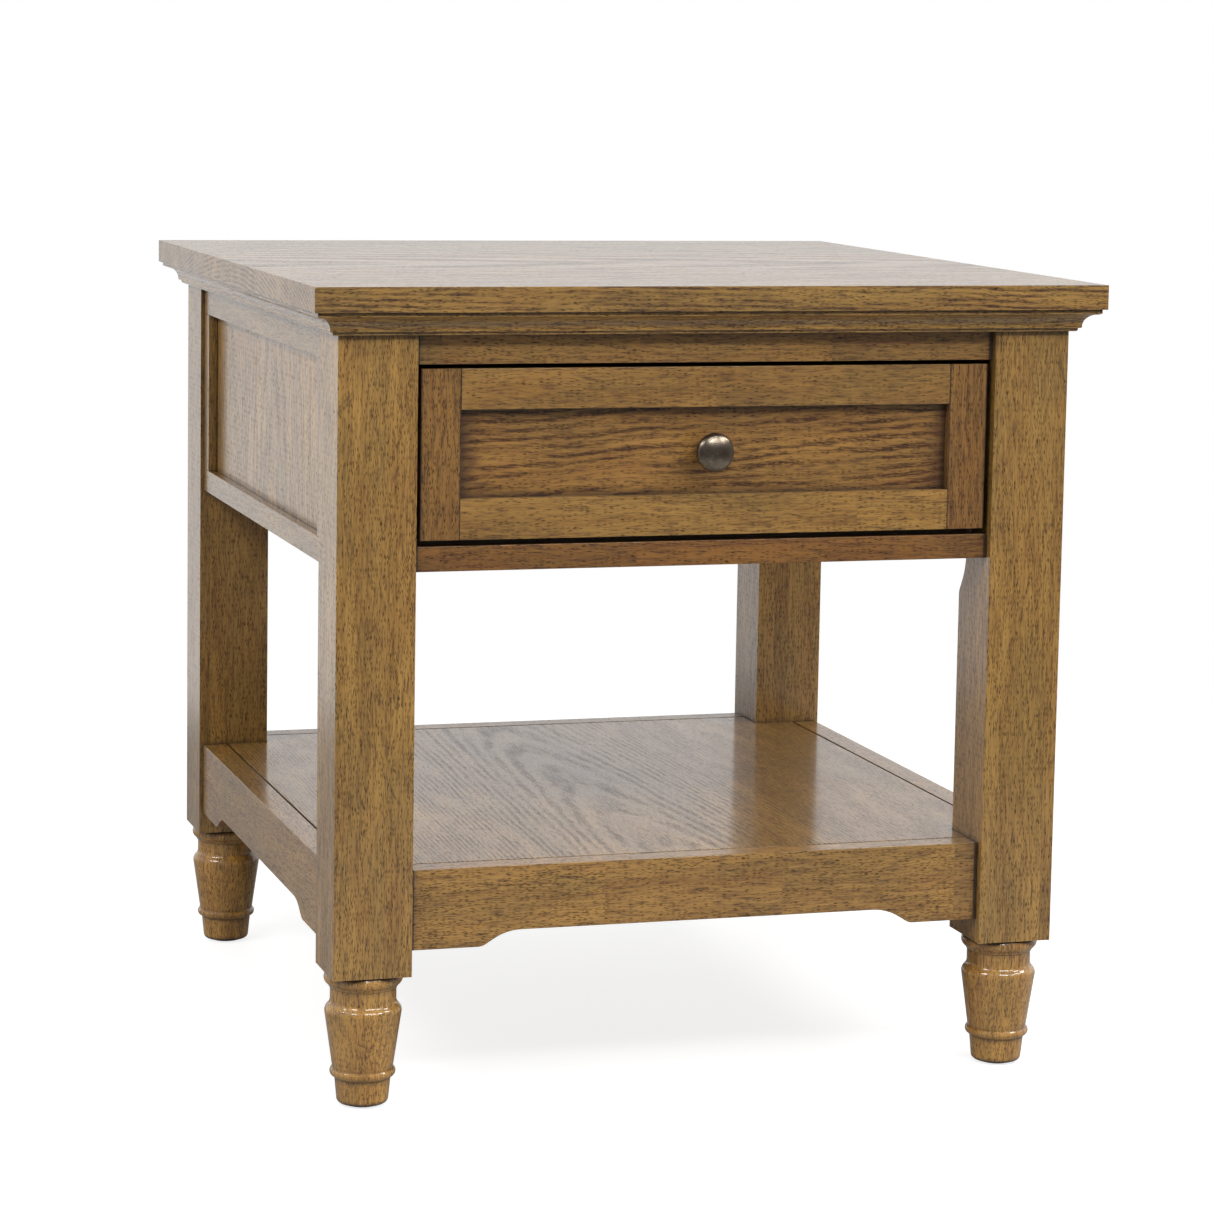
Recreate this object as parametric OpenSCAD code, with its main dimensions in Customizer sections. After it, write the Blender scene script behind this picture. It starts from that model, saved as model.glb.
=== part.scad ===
// Side table with one drawer and a low shelf, in millimetres.
// Origin: on the floor under the middle of the top. X runs along the width,
// the drawer faces -Y, Z is up.

/* [Top] */
// Width of the top, side to side
top_w = 610; // [590:1:640]
// Depth of the top, front to back
top_d = 627; // [600:1:660]
// Thickness of the top
top_t = 18.5; // [16:0.5:22]
// Height of the table
total_h = 608.5; // [602:0.5:612]
// Distance that the top reaches past the legs
overhang = 22; // [20:0.5:26]

/* [Legs and feet] */
// Side of the square legs
leg_s = 59; // [56:1:62]
// Height of a turned foot
foot_h = 101; // [100:0.5:103]
// Chamfer of a leg's inner corner
leg_chamfer = 12.5; // [10:0.5:14]

/* [Case] */
// Front and back: distance of the rails behind the face of the legs
front_recess = 7; // [5:0.5:8]
// Sides: distance of the rails behind the face of the legs
side_recess = 3; // [2:0.5:5]
// Thickness of the front and back rails and aprons
front_t = 20; // [18:1:22]
// Thickness of the side rails
side_t = 18; // [16:1:20]
// Underside of the top rails
top_rail_z = 550.5; // [549:0.5:554]
// Underside of the bottom rails
bottom_rail_z = 399.5; // [397:0.5:402]
// Height of the bottom rails
bottom_rail_h = 18.5; // [17:0.5:19.5]
// Front to back size of the front and back bottom rails
bottom_rail_d = 36; // [32:1:38]
// Width of the stiles beside a side or back panel
stile_w = 20; // [16:1:24]
// Distance of a side or back panel behind its frame
panel_recess = 7.5; // [6:0.5:8]

/* [Shelf] */
// Top of the shelf
shelf_z = 179; // [177:0.5:181]
// Height of an apron at its ends
apron_h = 60; // [58:1:62]
// Thickness of the shelf panel
shelf_t = 15; // [12:1:16]
// Groove between the shelf panel and the aprons
shelf_groove = 1.6; // [1:0.1:2]
// Half width of an apron's arch where it leaves the straight end
arch_half = 172; // [160:1:180]
// Height of an apron's arch
arch_rise = 11.5; // [10:0.5:13]

/* [Drawer] */
// Gap between the drawer front and the legs
drawer_gap = 4; // [3:0.5:5]
// Underside of the drawer front
front_z = 422.5; // [421:0.5:423.5]
// Height of the drawer front
front_h = 125; // [122:0.5:126]
// Distance of the drawer front behind the face of the legs
drawer_recess = 6; // [5:0.5:8]
// Width of the stiles and rails of the drawer front
frame_w = 30; // [26:1:34]
// Distance of the drawer front's panel behind its frame
front_panel_recess = 8; // [6:0.5:9]
// Length of the drawer box
box_len = 500; // [480:1:505]
// Underside of the drawer box
box_z = 431.5; // [429:0.5:434]
// Height of the drawer box
box_h = 95; // [90:1:98]
// Thickness of the boards of the drawer box
box_t = 12; // [11:1:13]
// Diameter of the knob
knob_d = 29; // [26:0.5:32]

/* [Slides] */
// Length of a drawer slide
slide_len = 508; // [490:1:508]
// Height of a drawer slide
slide_h = 45; // [44:1:46]
// Thickness of a drawer slide, closed
slide_w = 12.7; // [12.5:0.1:12.9]
// Thickness of the slides' steel
steel_t = 1.2; // [1:0.1:1.3]

/* [Hidden] */
$fn = 64;
eps = 0.01;
fit = 0.2;               // clearance of a tenon, a panel or a bolt in its housing
leg_x = top_w / 2 - overhang;
leg_y = top_d / 2 - overhang;
case_top = total_h - top_t;
inner_x = leg_x - leg_s;  // inner face of the legs, and half the width between them
inner_y = leg_y - leg_s;
tenon_len = 14;
tenon_inset = 6;
panel_t = 6;
groove_depth = 6;
top_rail_h = case_top - top_rail_z;
bottom_rail_top = bottom_rail_z + bottom_rail_h;
apron_z = shelf_z - apron_h;
apron_t = 20;
slide_z = box_z + box_h / 2 - slide_h / 2;
slide_overlap = 19.5;    // length of a slide's front end beside a front leg
slide_front = -inner_y - slide_overlap;
box_x = inner_x - slide_w;        // outer face of a drawer side
front_x = inner_x - drawer_gap;   // half the width of the drawer front
front_y = -leg_y + drawer_recess;
front_back_y = front_y + front_t;
front_top = front_z + front_h;
box_back_y = front_back_y + box_len;
bottom_t = 6;
bottom_z = box_z + 8;
knob_z = front_z + front_h / 2;
panel_y = front_y + front_panel_recess;
bolt_d = 8;
bolt_len = 78;
bolt_end = 12;           // length of a bolt past the face of its corner block
washer_d = 16;
washer_t = 1.6;
nut_d = 15;              // across the corners
nut_t = 6.5;
screw_d = 4;
screw_head_d = 8.4;
screw_head_t = 2.5;
screw_in_top = 12;       // depth of the top's screws in the top
dowel_d = 16;
dowel_len = 78;
block_depth = 28;        // reach of a corner block past the leg's inner corner
block_face = block_depth / sqrt(2);  // the same, along the diagonal
block_bottom = top_rail_z + 5;
upper_bolt_z = (block_bottom + case_top) / 2;
lower_bolt_z = bottom_rail_z + bottom_rail_h / 2;
screw_spots = [[28, -16], [-22, 34]];  // places of the top's screws, from the leg's inner corner
glide_d = 24;
glide_t = 3;
nail_d = 3;
nail_len = 17;
cleat = 18;
dust_t = 3;
dust_lap = 8;            // width of the dust panel's rest on the front and back rails
cornice_h = 17.4;
front_groove = 4;        // depth of the grooves in the drawer front's frame
rail_tongue_len = 6;
front_screw_d = 3.5;
front_screw_head_d = 6;
front_screw_x = box_x - box_t - front_screw_head_d / 2 - 0.1;
front_screw_zs = [box_z + 20, box_z + box_h - 20];
front_screw_len = 23;
knob_screw_in = 15;      // length of the knob's screw in the knob
pin_count = 4;
pin_pitch = box_h / pin_count;
dovetail_slope = 1.6;
wood = "#A87B3F";
wood_dark = "#8C6230";
wood_inside = "#D2B27C";
bronze = "#4A443C";
steel = "#B8BBBE";

// Housings for the rails and aprons in a leg: depth behind the leg's face from and to, and height
// from and to.
top_front_joint = [front_recess + tenon_inset, front_recess + front_t - tenon_inset,
                   top_rail_z + tenon_inset, case_top - tenon_inset];
bottom_front_joint = [front_recess + tenon_inset, front_recess + bottom_rail_d - tenon_inset,
                      bottom_rail_z + 4, bottom_rail_top - 4];
apron_front_joint = [front_recess + tenon_inset, front_recess + apron_t - tenon_inset,
                     apron_z + 10, shelf_z - 10];
top_side_joint = [side_recess + 5, side_recess + side_t - 5,
                  top_rail_z + tenon_inset, case_top - tenon_inset];
bottom_side_joint = [side_recess + 5, side_recess + side_t - 5,
                     bottom_rail_z + 4, bottom_rail_top - 4];
apron_side_joint = [side_recess + tenon_inset, side_recess + apron_t - tenon_inset,
                    apron_z + 10, shelf_z - 10];

// ---- Curves and places ----

// Points of an arc about c from angle a0 to a1.
function arc(c, r, a0, a1, n = 8) =
    [for (i = [0:n]) c + r * [cos(a0 + (a1 - a0) * i / n), sin(a0 + (a1 - a0) * i / n)]];

// Ogee that rises by `rise` from [0, 0]: a tight arc, a straight slope and a wide arc that ends level.
function ogee(rise, tight, wide, slope = 32) =
    let (run = (rise - (tight + wide) * (1 - cos(slope))) / tan(slope))
    let (end = (tight + wide) * sin(slope) + run)
    concat(arc([0, tight], tight, -90, -90 + slope, 4),
           arc([end, rise - wide], wide, 90 + slope, 90, 8));

module flip_x(on) {
    if (on) mirror([1, 0, 0]) children();
    else children();
}

module flip_y(on) {
    if (on) mirror([0, 1, 0]) children();
    else children();
}

// A corner of the table: the children's origin is the leg's outer corner, +X and +Y point inwards.
module corner(right, back) {
    flip_x(right) flip_y(back) translate([-leg_x, -leg_y, 0]) children();
}

// The four corners in turn.
module each_corner() {
    for (right = [false, true], back = [false, true]) corner(right, back) children();
}

// Sides of the table: the children's X runs along the side and +Y points inwards from the
// plane of the legs' faces.
module front_side() { translate([0, -leg_y, 0]) children(); }
module back_side() { rotate(180) front_side() children(); }
module left_side() { translate([-leg_x, 0, 0]) rotate(-90) children(); }
module right_side() { rotate(180) left_side() children(); }

// Box from its low and high corners.
module box(lo, hi) { translate(lo) cube(hi - lo); }

// ---- Top and cornice ----

module table_top() {
    color(wood) difference() {
        box([-top_w / 2, -top_d / 2, case_top], [top_w / 2, top_d / 2, total_h]);
        each_corner() for (p = screw_spots)
            translate([leg_s + p[0], leg_s + p[1], case_top - eps])
                cylinder(d = screw_d + fit, h = screw_in_top + eps);
    }
}

// Outline of the cornice: a fillet, a cove, a narrow bead and a flat underside. X is the
// distance past the legs, Y the distance below the top.
function cornice_outline() =
    let (fillet_x = overhang - 3.1, cove_x = fillet_x - 1.9, cove_r = 9.5, bead_x = cove_x - 11.8)
    concat([[-1, 0], [fillet_x, 0], [fillet_x, -3.2], [cove_x, -4]],
           arc([cove_x, -4 - cove_r], cove_r, 90, 180, 10),
           [[cove_x - cove_r, -14.6], [bead_x, -15], [bead_x, -16.6],
            [bead_x - 0.8, -cornice_h], [-1, -cornice_h]]);

// One mitred strip of cornice, with a backing piece that fills the recess between the legs.
module cornice(half, between, recess) {
    outer = half + overhang;
    color(wood) {
        intersection() {
            translate([-outer, 0, case_top]) rotate([90, 0, 90])
                mirror([1, 0, 0]) linear_extrude(2 * outer) polygon(cornice_outline());
            linear_extrude(total_h)
                polygon([[-half, 0], [-outer, -overhang], [outer, -overhang], [half, 0]]);
        }
        box([-between + fit, -1, case_top - cornice_h], [between - fit, recess, case_top]);
    }
}

module cornice_front() { front_side() cornice(leg_x, inner_x, front_recess); }
module cornice_back() { back_side() cornice(leg_x, inner_x, front_recess); }
module cornice_left() { left_side() cornice(leg_y, inner_y, side_recess); }
module cornice_right() { right_side() cornice(leg_y, inner_y, side_recess); }

// ---- Legs and feet ----

// Housing for a tenon that enters the leg along +X.
module mortise(joint) {
    box([leg_s - tenon_len - 2 * fit, joint[0] - fit, joint[2] - fit],
        [leg_s + 1, joint[1] + fit, joint[3] + fit]);
}

// Swaps X and Y, for the tenons that enter along +Y.
module swapped() { mirror([1, -1, 0]) children(); }

// Chamfer of the inner corner, which runs out in an ogee below the bottom rails.
module leg_chamfer_cut() {
    depth = leg_chamfer / sqrt(2);
    curve = ogee(leg_chamfer, 8, 45);
    run = curve[len(curve) - 1][0];
    profile = concat([[-2, bottom_rail_z - run]],
                     [for (p = curve) [p[1] / sqrt(2), bottom_rail_z - run + p[0]]],
                     [[depth, case_top + 1], [-2, case_top + 1]]);
    translate([leg_s, leg_s, 0]) rotate(-135) rotate([90, 0, 0])
        linear_extrude(4 * leg_chamfer, center = true) polygon(profile);
}

// The leg's inner corner, with +X along the diagonal away from the leg.
module diagonal(z) { translate([leg_s, leg_s, z]) rotate(45) rotate([0, 90, 0]) children(); }

module leg() {
    difference() {
        box([0, 0, foot_h], [leg_s, leg_s, case_top]);
        leg_chamfer_cut();
        for (joint = [top_front_joint, bottom_front_joint, apron_front_joint]) mortise(joint);
        swapped() for (joint = [top_side_joint, bottom_side_joint, apron_side_joint]) mortise(joint);
        for (z = [upper_bolt_z, lower_bolt_z])
            diagonal(z) translate([0, 0, block_face + bolt_end - bolt_len - 2])
                cylinder(d = bolt_d + fit, h = bolt_len);
        translate([leg_s / 2, leg_s / 2, foot_h - 1])
            cylinder(d = dowel_d + fit, h = dowel_len / 2 + 2);
    }
}

module leg_front_left() { color(wood) corner(false, false) leg(); }
module leg_front_right() { color(wood) corner(true, false) leg(); }
module leg_back_left() { color(wood) corner(false, true) leg(); }
module leg_back_right() { color(wood) corner(true, true) leg(); }

// Outline of a turned foot from the floor up: rounded base, ring, taper, shoulder, neck and collar.
function foot_outline() =
    concat([[0, 1.5], [15.6, 1.5]], arc([15.8, 5], 3.5, -90, -5, 6),
           [[20.8, 19.6], [20.8, 21]],
           arc([20.9, 25.3], 3.6, -62, 62, 8),
           [[22.6, 29.1]], arc([22.6, 71.3], 6, -7, 48, 8), arc([30.6, 80.3], 6, 228, 180, 7),
           [[24.6, 89], [25.4, 89.6]], arc([23.8, 96.4], 5.5, -62, 46, 9),
           [[26.8, foot_h], [0, foot_h]]);

module foot() {
    translate([leg_s / 2, leg_s / 2, 0]) difference() {
        rotate_extrude() polygon(foot_outline());
        translate([0, 0, foot_h - dowel_len / 2 - 1])
            cylinder(d = dowel_d + fit, h = dowel_len / 2 + 2);
        translate([0, 0, -1]) cylinder(d = glide_d + fit, h = glide_t + 1);
        cylinder(d = nail_d + fit, h = nail_len + 1);
    }
}

module foot_front_left() { color(wood) corner(false, false) foot(); }
module foot_front_right() { color(wood) corner(true, false) foot(); }
module foot_back_left() { color(wood) corner(false, true) foot(); }
module foot_back_right() { color(wood) corner(true, true) foot(); }

module foot_dowels() {
    color(wood_inside) each_corner()
        translate([leg_s / 2, leg_s / 2, foot_h - dowel_len / 2])
            cylinder(d = dowel_d, h = dowel_len);
}

// Nylon glides with a nail, let into the feet.
module foot_glides() {
    color("gainsboro") each_corner() translate([leg_s / 2, leg_s / 2, 0]) {
        cylinder(d = glide_d, h = glide_t);
        cylinder(d = nail_d, h = nail_len);
    }
}

// ---- Rails, stiles and panels of the case ----

// A rail or apron between two legs, with a tenon at each end. `size` is its thickness and height.
module rail(half, recess, size, z, joint) {
    box([-half, recess, z], [half, recess + size[0], z + size[1]]);
    box([-half - tenon_len, joint[0], joint[2]], [half + tenon_len, joint[1], joint[3]]);
}

// Space for a panel: its own size, and a clearance where `room` is above 0.
module panel_space(half, recess, room) {
    depth = recess + panel_recess;
    edge = groove_depth - (room > 0 ? 0 : 0.5);
    box([-half + stile_w - edge, depth - room, bottom_rail_top - edge],
        [half - stile_w + edge, depth + panel_t + room, top_rail_z + edge]);
}

module top_rail(half, recess, thick, joint) {
    color(wood) difference() {
        rail(half, recess, [thick, top_rail_h], top_rail_z, joint);
        panel_space(half, recess, fit / 2);
    }
}

module bottom_rail(half, recess, thick, joint) {
    color(wood) difference() {
        rail(half, recess, [thick, bottom_rail_h], bottom_rail_z, joint);
        panel_space(half, recess, fit / 2);
    }
}

module stiles(half, recess, thick) {
    color(wood) for (right = [false, true]) flip_x(right) difference() {
        box([-half, recess, bottom_rail_top], [-half + stile_w, recess + thick, top_rail_z]);
        panel_space(half, recess, fit / 2);
    }
}

module panel(half, recess) { color(wood) panel_space(half, recess, 0); }

module front_top_rail() {
    color(wood) front_side()
        rail(inner_x, front_recess, [front_t, top_rail_h], top_rail_z, top_front_joint);
}

module front_bottom_rail() {
    color(wood) front_side()
        rail(inner_x, front_recess, [bottom_rail_d, bottom_rail_h], bottom_rail_z, bottom_front_joint);
}

module side_top_rail_left() { left_side() top_rail(inner_y, side_recess, side_t, top_side_joint); }
module side_top_rail_right() { right_side() top_rail(inner_y, side_recess, side_t, top_side_joint); }

module side_bottom_rail_left() {
    left_side() bottom_rail(inner_y, side_recess, side_t, bottom_side_joint);
}

module side_bottom_rail_right() {
    right_side() bottom_rail(inner_y, side_recess, side_t, bottom_side_joint);
}

module side_stiles() {
    left_side() stiles(inner_y, side_recess, side_t);
    right_side() stiles(inner_y, side_recess, side_t);
}

module side_panel_left() { left_side() panel(inner_y, side_recess); }
module side_panel_right() { right_side() panel(inner_y, side_recess); }
module back_top_rail() { back_side() top_rail(inner_x, front_recess, front_t, top_front_joint); }

module back_bottom_rail() {
    back_side() bottom_rail(inner_x, front_recess, bottom_rail_d, bottom_front_joint);
}

module back_stiles() { back_side() stiles(inner_x, front_recess, front_t); }
module back_panel() { back_side() panel(inner_x, front_recess); }

// Thin board under the drawer, which lies on the front and back rails, notched round the legs.
module dust_panel() {
    px = leg_x - side_recess - side_t - 0.5;
    py = leg_y - front_recess - bottom_rail_d + dust_lap;
    color(wood_inside) difference() {
        box([-px, -py, bottom_rail_top], [px, py, bottom_rail_top + dust_t]);
        each_corner() box([0, 0, bottom_rail_z], [leg_s + 0.5, leg_s + 0.5, top_rail_z]);
    }
}

// ---- Shelf ----

// Apron with an arch between two ogees.
module apron(half, recess, joint) {
    curve = [for (p = ogee(arch_rise, 11, 40)) [arch_half - p[0], apron_z + p[1]]];
    n = len(curve);
    color(wood) difference() {
        rail(half, recess, [apron_t, apron_h], apron_z, joint);
        translate([0, recess - 1, 0]) rotate([90, 0, 0]) mirror([0, 0, 1])
            linear_extrude(apron_t + 2)
                polygon(concat([[-arch_half, apron_z - 1], [arch_half, apron_z - 1]], curve,
                               [for (i = [n - 1:-1:0]) [-curve[i][0], curve[i][1]]]));
    }
}

module apron_front() { front_side() apron(inner_x, front_recess, apron_front_joint); }
module apron_back() { back_side() apron(inner_x, front_recess, apron_front_joint); }
module apron_left() { left_side() apron(inner_y, side_recess, apron_side_joint); }
module apron_right() { right_side() apron(inner_y, side_recess, apron_side_joint); }

// The shelf's panel, notched round the legs.
module shelf_panel() {
    px = leg_x - side_recess - apron_t - shelf_groove;
    py = leg_y - front_recess - apron_t - shelf_groove;
    color(wood) difference() {
        box([-px, -py, shelf_z - shelf_t], [px, py, shelf_z]);
        each_corner() box([0, 0, shelf_z - shelf_t - 1], [leg_s + 0.5, leg_s + 0.5, shelf_z + 1]);
    }
}

// One cleat under the shelf panel, against an apron.
module shelf_cleat(half, recess) {
    box([-half + 1, recess + apron_t, shelf_z - shelf_t - cleat],
        [half - 1, recess + apron_t + cleat, shelf_z - shelf_t]);
}

module shelf_cleats() {
    color(wood_inside) {
        front_side() shelf_cleat(inner_x, front_recess);
        back_side() shelf_cleat(inner_x, front_recess);
        left_side() shelf_cleat(inner_y, side_recess);
        right_side() shelf_cleat(inner_y, side_recess);
    }
}

// ---- Corner blocks and fasteners ----

// Block that fills a corner between two rails and the leg's chamfer. `front` and `side` are the
// distances of the rails' inner faces from the leg's inner faces.
module corner_block(z, h, front, side, bolt_z) {
    gap = 0.3;
    difference() {
        translate([leg_s, leg_s, z]) linear_extrude(h)
            polygon([[gap, -front], [block_depth + front, -front], [-side, block_depth + side],
                     [-side, gap], [-leg_chamfer, gap], [gap, -leg_chamfer]]);
        diagonal(bolt_z) translate([0, 0, -block_depth]) cylinder(d = bolt_d + 1, h = 2 * block_depth);
    }
}

module upper_corner_blocks() {
    color(wood_inside) each_corner() difference() {
        corner_block(block_bottom, case_top - block_bottom, leg_s - front_recess - front_t,
                     leg_s - side_recess - side_t, upper_bolt_z);
        for (p = screw_spots) translate([leg_s + p[0], leg_s + p[1], block_bottom - 1])
            cylinder(d = screw_d + fit, h = case_top - block_bottom + 2);
    }
}

module lower_corner_blocks() {
    color(wood_inside) each_corner()
        corner_block(bottom_rail_z, bottom_rail_h, leg_s - front_recess - bottom_rail_d,
                     leg_s - side_recess - side_t, lower_bolt_z);
}

// Places its children at every bolt, with +Z along the bolt from the face of its corner block.
module each_bolt() {
    each_corner() for (z = [upper_bolt_z, lower_bolt_z])
        diagonal(z) translate([0, 0, block_face]) children();
}

module hanger_bolts() {
    color(steel) each_bolt() translate([0, 0, bolt_end - bolt_len]) cylinder(d = bolt_d, h = bolt_len);
}

module washers() {
    color(steel) each_bolt() difference() {
        cylinder(d = washer_d, h = washer_t);
        translate([0, 0, -1]) cylinder(d = bolt_d + fit, h = washer_t + 2);
    }
}

module hex_nuts() {
    color(steel) each_bolt() translate([0, 0, washer_t]) difference() {
        cylinder(d = nut_d, h = nut_t, $fn = 6);
        translate([0, 0, -1]) cylinder(d = bolt_d + fit, h = nut_t + 2);
    }
}

module top_screws() {
    color(steel) each_corner() for (p = screw_spots)
        translate([leg_s + p[0], leg_s + p[1], block_bottom - screw_head_t]) {
            cylinder(d = screw_head_d, h = screw_head_t);
            cylinder(d = screw_d, h = case_top - block_bottom + screw_in_top);
        }
}

// ---- Drawer front ----

// Space of the drawer front's panel, with its clearance.
module front_panel_space(room) {
    edge = front_groove - (room > 0 ? 0 : 0.5);
    box([-front_x + frame_w - edge, panel_y - room, front_z + frame_w - edge],
        [front_x - frame_w + edge, panel_y + panel_t + room, front_top - frame_w + edge]);
}

module drawer_stile() {
    color(wood) difference() {
        box([-front_x, front_y, front_z], [-front_x + frame_w, front_back_y, front_top]);
        front_panel_space(fit / 2);
        for (z = [front_z, front_top - frame_w]) rail_tongue(z, fit);
        box_screws(front_screw_d + fit);
    }
}

// Tongue at the end of a drawer rail, and its housing where `room` is above 0.
module rail_tongue(z, room) {
    box([-front_x + frame_w - rail_tongue_len - room, panel_y - room / 2, z + 5 - room],
        [front_x - frame_w + rail_tongue_len + room, panel_y + panel_t + room / 2,
         z + frame_w - 5 + room]);
}

module drawer_rail(z) {
    color(wood) difference() {
        union() {
            box([-front_x + frame_w, front_y, z], [front_x - frame_w, front_back_y, z + frame_w]);
            rail_tongue(z, 0);
        }
        front_panel_space(fit / 2);
    }
}

module drawer_stile_left() { drawer_stile(); }
module drawer_stile_right() { mirror([1, 0, 0]) drawer_stile(); }
module drawer_rail_top() { drawer_rail(front_top - frame_w); }
module drawer_rail_bottom() { drawer_rail(front_z); }

// Places its children on the knob's axis, with +Z pointing out of the drawer.
module knob_axis(y) { translate([0, y, knob_z]) rotate([90, 0, 0]) children(); }

module drawer_panel() {
    color(wood) difference() {
        front_panel_space(0);
        knob_axis(panel_y + panel_t + 1) cylinder(d = screw_d + fit, h = panel_t + 2);
    }
}

// Outline of the knob from its base out: a foot, a waist and a domed head with a rounded edge.
function knob_outline() =
    let (r = knob_d / 2)
    concat([[0, 0], [7, 0], [7.4, 0.8], [7, 1.8]], arc([9.4, 8.6], 4.4, 237, 180, 5),
           arc([11.3, 9.9], 6.3, 180, 93, 7), arc([r - 4.4, 20.4], 4.4, -75, 60, 10),
           arc([0, 2.9], 24.6, 60, 90, 8));

module knob() {
    color(bronze) knob_axis(panel_y) difference() {
        rotate_extrude() polygon(knob_outline());
        translate([0, 0, -1]) cylinder(d = screw_d + fit, h = knob_screw_in + 2);
    }
}

module knob_screw() {
    color(steel) knob_axis(front_back_y + box_t) {
        translate([0, 0, -screw_head_t]) cylinder(d = screw_head_d, h = screw_head_t);
        translate([0, 0, -eps])
            cylinder(d = screw_d, h = box_t + front_t - front_panel_recess + knob_screw_in);
    }
}

// ---- Drawer box ----

// Dovetail pins seen along X: wide inside the box, narrow at its end. `grow` shrinks or grows them.
module pins(end_y, into, grow) {
    for (i = [0:pin_count - 1]) {
        z = box_z + (i + 0.5) * pin_pitch;
        polygon([[end_y - into, z - 4 - grow], [end_y - into, z + 4 + grow],
                 [end_y + into * box_t, z + 4 + dovetail_slope + grow],
                 [end_y + into * box_t, z - 4 - dovetail_slope - grow]]);
    }
}

// Extrudes an outline drawn in Y and Z between two places along X.
module across(x0, x1) {
    translate([x0, 0, 0]) rotate([90, 0, 90]) linear_extrude(x1 - x0) children();
}

module drawer_side() {
    color(wood_inside) difference() {
        box([-box_x, front_back_y, box_z], [-box_x + box_t, box_back_y, box_z + box_h]);
        across(-box_x - 1, -box_x + box_t + 1) {
            pins(front_back_y, 1, 0.05);
            pins(box_back_y, -1, 0.05);
        }
        bottom_space(fit / 2);
    }
}

// End board of the drawer box, with pins that reach through the sides.
module drawer_end(end_y, into) {
    near = min(end_y, end_y + into * box_t);
    difference() {
        union() {
            box([-box_x + box_t, near, box_z], [box_x - box_t, near + box_t, box_z + box_h]);
            intersection() {
                across(-box_x, box_x) pins(end_y, into, -0.05);
                box([-box_x, near, box_z], [box_x, near + box_t, box_z + box_h]);
            }
        }
        bottom_space(fit / 2);
    }
}

// Space of the drawer's bottom board, with its clearance.
module bottom_space(room) {
    edge = 5 - (room > 0 ? 0 : 0.5);
    box([-box_x + box_t - edge, front_back_y + box_t - edge, bottom_z - room],
        [box_x - box_t + edge, box_back_y - box_t + edge, bottom_z + bottom_t + room]);
}

// Places its children at the screws that hold the drawer front to the box, with +Z along them.
module each_front_screw(y) {
    for (x = [-front_screw_x, front_screw_x], z = front_screw_zs)
        translate([x, y, z]) rotate([90, 0, 0]) children();
}

// Holes for these screws.
module box_screws(d) {
    each_front_screw(front_back_y + box_t + 1) cylinder(d = d, h = front_screw_len + 2);
}

module drawer_side_left() { drawer_side(); }
module drawer_side_right() { mirror([1, 0, 0]) drawer_side(); }

module drawer_box_front() {
    color(wood_inside) difference() {
        drawer_end(front_back_y, 1);
        box_screws(front_screw_d + fit);
        knob_axis(front_back_y + box_t + 1) cylinder(d = screw_d + fit, h = box_t + 2);
    }
}

module drawer_box_back() { color(wood_inside) drawer_end(box_back_y, -1); }
module drawer_bottom() { color(wood_inside) bottom_space(0); }

module drawer_front_screws() {
    color(steel) each_front_screw(front_back_y + box_t) {
        translate([0, 0, -screw_head_t]) cylinder(d = front_screw_head_d, h = screw_head_t);
        translate([0, 0, -eps]) cylinder(d = front_screw_d, h = front_screw_len);
    }
}

// ---- Drawer slides ----

// Channel section drawn with X from the leg towards the drawer and Y up: a web, two flanges and
// two lips. `lip_out` turns the lips away from the channel's middle.
module channel(web_x, tip_x, z0, z1, lip, lip_out) {
    lo = min(web_x, tip_x);
    hi = max(web_x, tip_x);
    lip_x = tip_x > web_x ? tip_x - steel_t : tip_x;
    translate([web_x < tip_x ? web_x : web_x - steel_t, z0]) square([steel_t, z1 - z0]);
    for (z = [z0, z1 - steel_t]) translate([lo, z]) square([hi - lo, steel_t]);
    for (z = lip_out ? [z0 - lip, z1 - steel_t] : [z0, z1 - steel_t - lip])
        translate([lip_x, z]) square([steel_t, lip + steel_t]);
}

// Extrudes a section along the left slide, with its origin at the leg's inner face.
module slide() {
    color(steel) translate([-inner_x, slide_front + slide_len, slide_z]) rotate([90, 0, 0])
        linear_extrude(slide_len) children();
}

module slide_cabinet() { slide() channel(0, 9, 0, slide_h, 4, false); }
module slide_middle() { slide() channel(2.8, 10.6, 6.6, slide_h - 6.6, 3.5, false); }
module slide_drawer() { slide() channel(slide_w, 5.6, 13.5, slide_h - 13.5, 4, true); }

module slide_cabinet_left() { slide_cabinet(); }
module slide_cabinet_right() { mirror([1, 0, 0]) slide_cabinet(); }
module slide_middle_left() { slide_middle(); }
module slide_middle_right() { mirror([1, 0, 0]) slide_middle(); }
module slide_drawer_left() { slide_drawer(); }
module slide_drawer_right() { mirror([1, 0, 0]) slide_drawer(); }

table_top();
cornice_front();
cornice_back();
cornice_left();
cornice_right();
leg_front_left();
leg_front_right();
leg_back_left();
leg_back_right();
foot_front_left();
foot_front_right();
foot_back_left();
foot_back_right();
foot_dowels();
foot_glides();
front_top_rail();
front_bottom_rail();
side_top_rail_left();
side_top_rail_right();
side_bottom_rail_left();
side_bottom_rail_right();
side_stiles();
side_panel_left();
side_panel_right();
back_top_rail();
back_bottom_rail();
back_stiles();
back_panel();
dust_panel();
apron_front();
apron_back();
apron_left();
apron_right();
shelf_panel();
shelf_cleats();
upper_corner_blocks();
lower_corner_blocks();
hanger_bolts();
washers();
hex_nuts();
top_screws();
drawer_stile_left();
drawer_stile_right();
drawer_rail_top();
drawer_rail_bottom();
drawer_panel();
drawer_side_left();
drawer_side_right();
drawer_box_front();
drawer_box_back();
drawer_bottom();
drawer_front_screws();
knob();
knob_screw();
slide_cabinet_left();
slide_cabinet_right();
slide_middle_left();
slide_middle_right();
slide_drawer_left();
slide_drawer_right();
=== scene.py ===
import math
import random

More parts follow.
